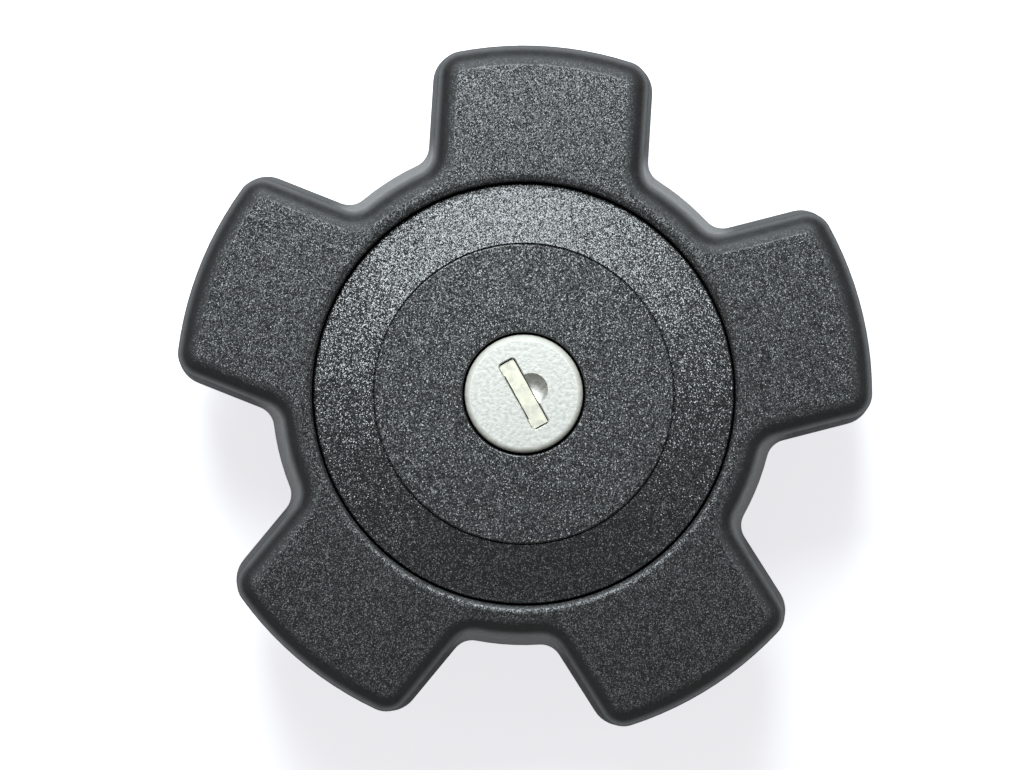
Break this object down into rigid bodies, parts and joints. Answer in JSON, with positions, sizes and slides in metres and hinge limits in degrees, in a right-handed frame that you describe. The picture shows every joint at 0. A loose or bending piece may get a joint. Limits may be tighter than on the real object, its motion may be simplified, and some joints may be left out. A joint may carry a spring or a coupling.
{
  "type": "fuel filler cap",
  "caption": "Locking fuel filler cap: hollow lobed hand grip that spins round a fixed centre with a key lock, above a bayonet spigot with rubber gasket and breather valves.",
  "frame": {"origin": "on the cap's axis, in the plane where the filler neck's rim meets the gasket", "axes": "+Z along the cap's axis, out of the neck towards the hand; +X and +Y across the face, with the lock's key slot 29 degrees from Y"},
  "size_m": [0.1021, 0.1002, 0.0429],
  "materials": {
    "grip_plastic": "black nylon with a fine spark-eroded grain",
    "cover_plastic": "black nylon with a coarser grain",
    "inner_plastic": "black glass-filled nylon, smooth",
    "valve_plastic": "natural acetal",
    "gasket_rubber": "fuel-proof rubber",
    "lock_steel": "satin stainless steel",
    "flap_brass": "pale plated brass",
    "wafer_brass": "stamped brass",
    "die_cast_zinc": "die-cast zinc",
    "zinc_steel": "zinc-plated steel",
    "spring_steel": "spring steel"
  },
  "bodies": {
    "closure": {"closure_body": "inner_plastic", "neck_gasket": "gasket_rubber", "lock_carrier": "inner_plastic", "carrier_screws": "zinc_steel", "cover_cone": "cover_plastic", "centre_disc": "cover_plastic", "lock_housing": "die_cast_zinc", "housing_clip": "spring_steel", "housing_seal": "gasket_rubber", "valve_plate": "valve_plastic", "plate_seal": "gasket_rubber", "plate_snap_ring": "spring_steel", "pressure_spring": "spring_steel"},
    "grip": {"hand_grip": "grip_plastic", "coupling_ring": "inner_plastic", "grip_snap_ring": "spring_steel"},
    "plug": {"lock_plug": "die_cast_zinc", "lock_face": "lock_steel", "flap_pin": "spring_steel", "flap_spring": "spring_steel", "wafer_1": "wafer_brass", "wafer_2": "wafer_brass", "wafer_3": "wafer_brass", "wafer_4": "wafer_brass", "wafer_5": "wafer_brass", "scroll_cam": "die_cast_zinc", "cam_screw": "zinc_steel"},
    "flap": {"key_flap": "flap_brass"},
    "bolt_a": {"coupling_bolt_a": "die_cast_zinc"},
    "bolt_b": {"coupling_bolt_b": "die_cast_zinc"},
    "pressure_valve": {"pressure_valve": "valve_plastic", "pressure_pad": "gasket_rubber", "vacuum_spring": "spring_steel"},
    "vacuum_valve": {"vacuum_valve": "valve_plastic", "stem_cap": "spring_steel"}
  },
  "joints": [
    {"name": "grip_spin", "type": "hinge", "parent": "closure", "child": "grip", "pos_m": [0, 0, 0.0089], "axis": [0, 0, 1], "continuous": true},
    {"name": "key_turn", "type": "hinge", "parent": "closure", "child": "plug", "pos_m": [0, 0, 0.015], "axis": [0, 0, -1], "range_deg": [0, 90]},
    {"name": "bolt_a_out", "type": "slide", "parent": "closure", "child": "bolt_a", "axis": [1, 0, 0], "range_m": [0, 0.0032]},
    {"name": "bolt_b_out", "type": "slide", "parent": "closure", "child": "bolt_b", "axis": [-1, 0, 0], "range_m": [0, 0.0032]},
    {"name": "flap_swing", "type": "hinge", "parent": "plug", "child": "flap", "pos_m": [-0.00157, -0.00087, 0.0197], "axis": [-0.4848, 0.8746, 0], "range_deg": [0, 88], "stiffness_Nm_per_rad": 0.0008, "springref_deg": -22.92},
    {"name": "pressure_lift", "type": "slide", "parent": "closure", "child": "pressure_valve", "axis": [0, 0, 1], "range_m": [0, 0.0025], "stiffness_N_per_m": 400, "springref_m": -0.0035, "deforming": ["pressure_spring"]},
    {"name": "vacuum_drop", "type": "slide", "parent": "pressure_valve", "child": "vacuum_valve", "axis": [0, 0, -1], "range_m": [0, 0.002], "stiffness_N_per_m": 60, "springref_m": -0.0017, "deforming": ["vacuum_spring"]}
  ],
  "couplings": [
    {"joint": "bolt_a_out", "follows": "key_turn", "m_per_rad": 0.002037},
    {"joint": "bolt_b_out", "follows": "key_turn", "m_per_rad": 0.002037}
  ]
}
